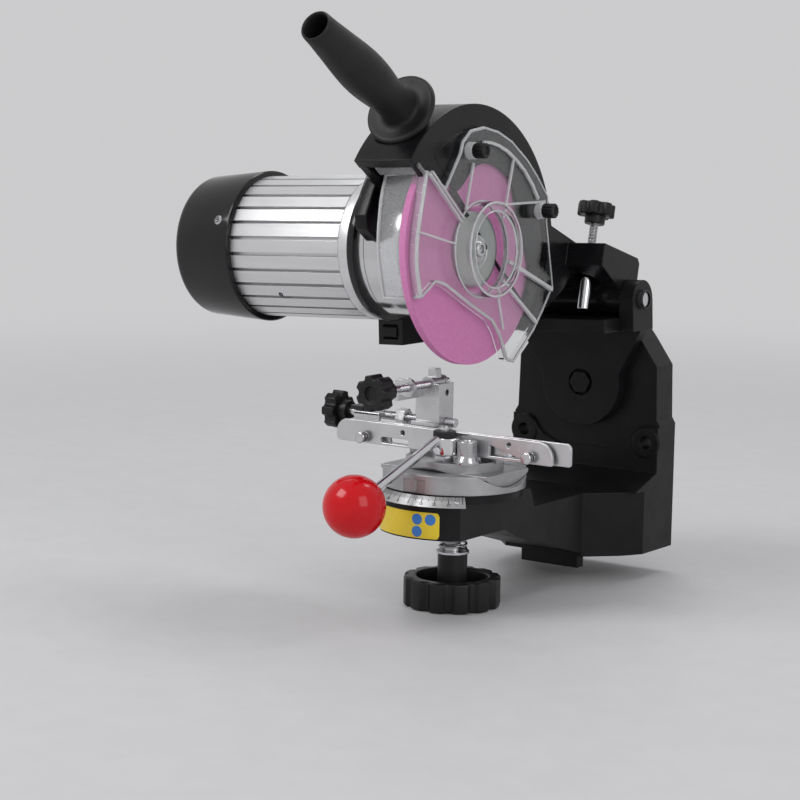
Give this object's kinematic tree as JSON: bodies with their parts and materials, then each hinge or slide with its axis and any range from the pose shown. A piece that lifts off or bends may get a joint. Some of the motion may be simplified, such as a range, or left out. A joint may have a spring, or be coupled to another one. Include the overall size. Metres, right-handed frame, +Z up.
{
  "type": "electric chainsaw sharpener",
  "caption": "Bench grinder for saw chains: a swivelling motor head with a thin wheel and clear guard pulls down on a handle over a turning, tilting chain vise with a cam lever.",
  "frame": {"origin": "the middle of the two bench bolts' line, on the flat back face of the base casting", "axes": "+X is the right of a user who faces the handle, +Y is the back and +Z is up"},
  "size_m": [0.2912, 0.3159, 0.3702],
  "materials": {
    "black_casting": "semi-gloss black paint over cast metal",
    "scale_metal": "satin plate with dark degree marks",
    "rivet_metal": "bright",
    "yellow_label": "plain yellow printed film with plain blue discs",
    "bright_steel": "bright zinc plate",
    "cast_aluminium": "machined casting",
    "black_plastic": "satin black",
    "black_gloss": "glossy black",
    "spring_steel": "bright spring wire",
    "rail_chrome": "bright chrome plate",
    "dark_steel": "blackened steel",
    "red_plastic": "glossy red",
    "finned_aluminium": "natural extruded aluminium",
    "core_steel": "varnished steel laminations",
    "copper": "bare copper",
    "carbon": "pressed carbon",
    "pink_abrasive": "fine pink vitrified grit",
    "flange_metal": "machined",
    "clear_plastic": "clear polycarbonate",
    "rocker_plastic": "glossy black",
    "black_rubber": "black"
  },
  "bodies": {
    "base": {"base_casting": "black_casting", "angle_scale_plate": "scale_metal", "scale_rivets": "rivet_metal", "front_colour_plate": "yellow_label", "tilt_pointer": "bright_steel"},
    "turntable": {"turntable_disc": "cast_aluminium", "turntable_stud": "bright_steel", "lock_spring": "spring_steel"},
    "lock_washer": {"lock_spring_washer": "bright_steel"},
    "lock_knob": {"vise_lock_knob": "black_plastic"},
    "vise": {"vise_cradle": "cast_aluminium", "rear_rail": "rail_chrome", "jaw_guide_pins": "bright_steel", "cam_post": "bright_steel", "guide_post": "bright_steel", "screw_bearing_block": "dark_steel"},
    "front_rail": {"front_rail": "rail_chrome"},
    "cam_lever": {"cam_hub": "rail_chrome", "cam_collar": "dark_steel", "cam_lever_rod": "rail_chrome", "red_ball_knob": "red_plastic"},
    "chain_stop_screw": {"chain_stop_screw": "bright_steel", "chain_stop_knob": "black_plastic"},
    "chain_stop": {"chain_stop_bracket": "rail_chrome"},
    "chain_pawl": {"chain_pawl": "rail_chrome"},
    "side_knob": {"side_lock_knob": "black_plastic"},
    "swivel": {"tilt_bracket": "black_casting", "swivel_bolt": "bright_steel", "hinge_pin": "bright_steel", "head_return_spring": "spring_steel"},
    "swivel_knob": {"swivel_lock_knob": "black_plastic"},
    "head": {"wheel_cover_casting": "black_casting", "handle_grip": "black_plastic", "handle_stud": "bright_steel", "motor_nose": "black_gloss", "motor_mount_ring": "black_casting", "motor_body": "finned_aluminium", "motor_end_cap": "black_gloss", "end_cap_screws": "bright_steel", "stator_core": "core_steel", "stator_coils": "copper", "carbon_brushes": "carbon", "shaft_bearings": "bright_steel", "clear_guard": "clear_plastic", "guard_studs": "bright_steel", "guard_thumb_nuts": "black_plastic", "switch_box": "black_plastic", "cord_gland": "black_rubber"},
    "spindle": {"motor_shaft": "bright_steel", "rotor_core": "core_steel", "commutator": "copper", "cooling_fan": "black_plastic", "grinding_wheel": "pink_abrasive", "inner_wheel_flange": "flange_metal", "outer_wheel_flange": "flange_metal", "spindle_screw": "bright_steel"},
    "rocker": {"switch_rocker": "rocker_plastic"},
    "depth_foot": {"depth_stop_foot": "rail_chrome"},
    "depth_screw": {"depth_stop_screw": "bright_steel", "depth_stop_knob": "black_plastic"}
  },
  "joints": [
    {"name": "turntable_swing", "type": "hinge", "parent": "base", "child": "turntable", "pos_m": [0, -0.184, -0.012], "axis": [0, 0, 1], "range_deg": [-35, 35]},
    {"name": "lock_knob_travel", "type": "slide", "parent": "turntable", "child": "lock_washer", "axis": [0, 0, 1], "range_m": [-0.00125, 0], "deforming": ["lock_spring"]},
    {"name": "lock_knob_turn", "type": "hinge", "parent": "lock_washer", "child": "lock_knob", "pos_m": [0, -0.184, -0.08], "axis": [0, 0, 1], "range_deg": [-361, 0]},
    {"name": "vise_tilt", "type": "hinge", "parent": "turntable", "child": "vise", "pos_m": [0, -0.184, 0.04], "axis": [1, 0, 0], "range_deg": [-8, 3]},
    {"name": "cam_lever_swing", "type": "hinge", "parent": "vise", "child": "cam_lever", "pos_m": [0.004, -0.202, 0.015], "axis": [0, 0, 1], "range_deg": [-45, 55]},
    {"name": "front_rail_clamp", "type": "slide", "parent": "vise", "child": "front_rail", "axis": [0, 1, 0], "range_m": [-0.001, 0.00122]},
    {"name": "chain_stop_screw_turn", "type": "hinge", "parent": "vise", "child": "chain_stop_screw", "pos_m": [-0.09, -0.1745, 0.025], "axis": [1, 0, 0], "range_deg": [-1085, 1085]},
    {"name": "chain_stop_travel", "type": "slide", "parent": "vise", "child": "chain_stop", "axis": [1, 0, 0], "range_m": [-0.003, 0.003]},
    {"name": "chain_pawl_flip", "type": "hinge", "parent": "chain_stop", "child": "chain_pawl", "pos_m": [-0.022, -0.1755, 0.0496], "axis": [0, 1, 0], "range_deg": [-20, 60]},
    {"name": "side_knob_turn", "type": "hinge", "parent": "chain_stop", "child": "side_knob", "pos_m": [-0.022, -0.226, 0.0496], "axis": [0, 1, 0], "range_deg": [-90, 90]},
    {"name": "head_swivel", "type": "hinge", "parent": "base", "child": "swivel", "pos_m": [0, -0.03, 0.038], "axis": [0, 1, 0], "range_deg": [-2.4, 12.6]},
    {"name": "swivel_knob_turn", "type": "hinge", "parent": "swivel", "child": "swivel_knob", "pos_m": [0, -0.01, 0.038], "axis": [0, 1, 0], "range_deg": [0, 180]},
    {"name": "head_pull_down", "type": "hinge", "parent": "swivel", "child": "head", "pos_m": [-0.00263, -0.0355, 0.09594], "axis": [0.999, 0, 0.0454], "range_deg": [0, 9.2], "stiffness_Nm_per_rad": 20, "springref_deg": -25.78},
    {"name": "wheel_spin", "type": "hinge", "parent": "head", "child": "spindle", "pos_m": [0.00233, -0.1769, 0.13661], "axis": [0.999, 0, 0.0454], "continuous": true},
    {"name": "switch_rocker_press", "type": "hinge", "parent": "head", "child": "rocker", "pos_m": [-0.06558, -0.1609, 0.07797], "axis": [0.999, 0, 0.0454], "range_deg": [0, 16]},
    {"name": "depth_stop_travel", "type": "slide", "parent": "head", "child": "depth_foot", "axis": [-0.0436, 0.2747, 0.9605], "range_m": [-0.003, 0.003]},
    {"name": "depth_stop_turn", "type": "hinge", "parent": "depth_foot", "child": "depth_screw", "pos_m": [0.01533, -0.04566, 0.14131], "axis": [-0.0436, 0.2747, 0.9605], "range_deg": [-1085, 1085]}
  ],
  "couplings": [
    {"joint": "lock_knob_turn", "follows": "lock_knob_travel", "rad_per_m": 5026.5},
    {"joint": "front_rail_clamp", "follows": "cam_lever_swing", "m_per_rad": 0.00125},
    {"joint": "chain_stop_screw_turn", "follows": "chain_stop_travel", "rad_per_m": -6283.2},
    {"joint": "depth_stop_turn", "follows": "depth_stop_travel", "rad_per_m": 6283.2}
  ]
}
